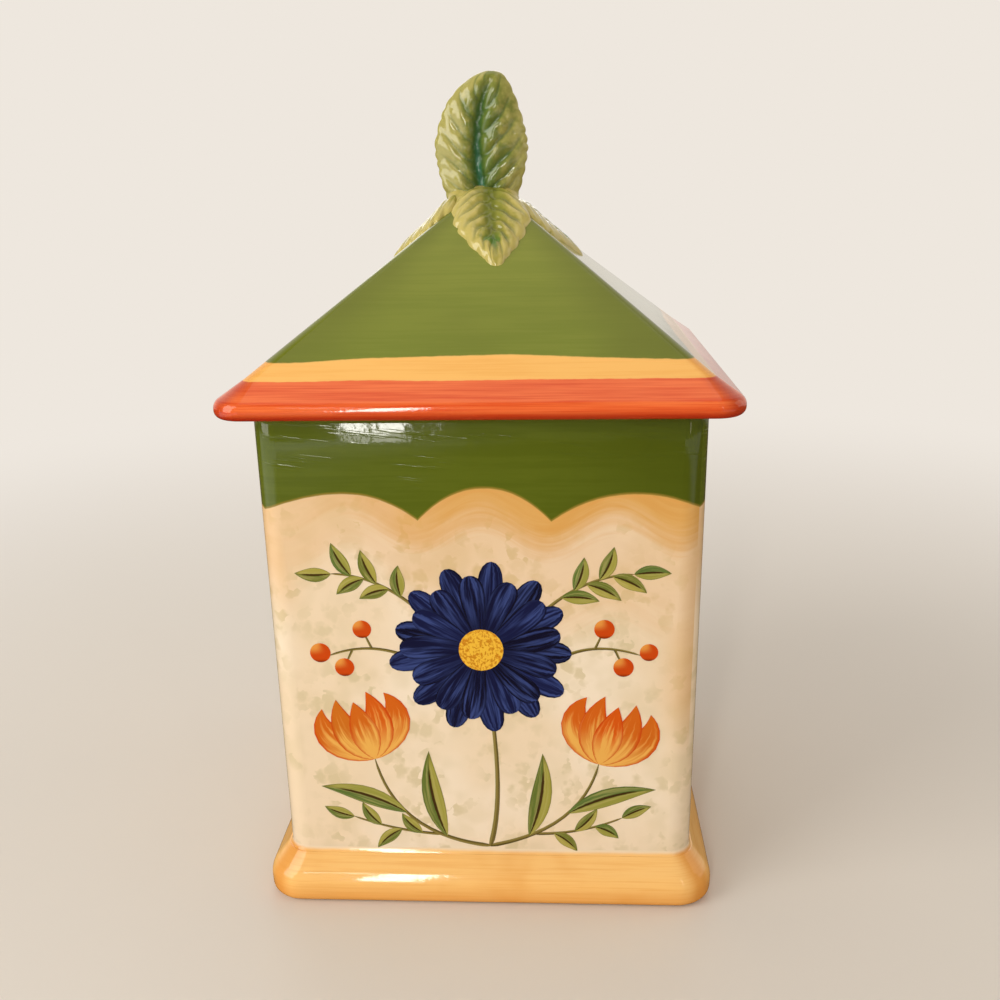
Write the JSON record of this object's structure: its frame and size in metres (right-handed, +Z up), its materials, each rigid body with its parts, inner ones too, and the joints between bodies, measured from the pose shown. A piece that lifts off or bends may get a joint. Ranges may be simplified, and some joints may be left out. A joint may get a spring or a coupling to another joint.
{
  "type": "canister",
  "caption": "Square glazed ceramic canister on a moulded plinth foot, with a hollow pyramid-roof lid that lifts off by an upright leaf knob and seats on a collar with a soft seal.",
  "frame": {"origin": "middle of the foot, on the surface that the canister stands on", "axes": "+Z up, towards the knob; the front faces -Y and +X is to the viewer's right"},
  "size_m": [0.165, 0.165, 0.2801],
  "materials": {
    "plinth_glaze": "brushed ochre-yellow underglaze under a clear gloss glaze",
    "jar_glaze": "cream ground with a green scalloped band, hand painted under a clear gloss glaze",
    "roof_glaze": "olive green slopes with yellow and coral bands, hand brushed under a clear gloss glaze",
    "collar_glaze": "clear gloss glaze on a pale body",
    "seal_silicone": "milky translucent silicone",
    "leaf_glaze": "translucent green glaze pooled in the veins, yellower on the edges"
  },
  "bodies": {
    "jar": {"base_plinth": "plinth_glaze", "jar_body": "jar_glaze"},
    "lid": {"lid_roof": "roof_glaze", "lid_collar": "collar_glaze", "lid_seal": "seal_silicone", "knob_leaf": "leaf_glaze", "draped_leaf_front": "leaf_glaze", "draped_leaf_right": "leaf_glaze", "draped_leaf_back": "leaf_glaze", "draped_leaf_left": "leaf_glaze"}
  },
  "joints": [
    {"name": "lid_lift", "type": "slide", "parent": "jar", "child": "lid", "axis": [0, 0, 1], "range_m": [0, 0.18]}
  ]
}
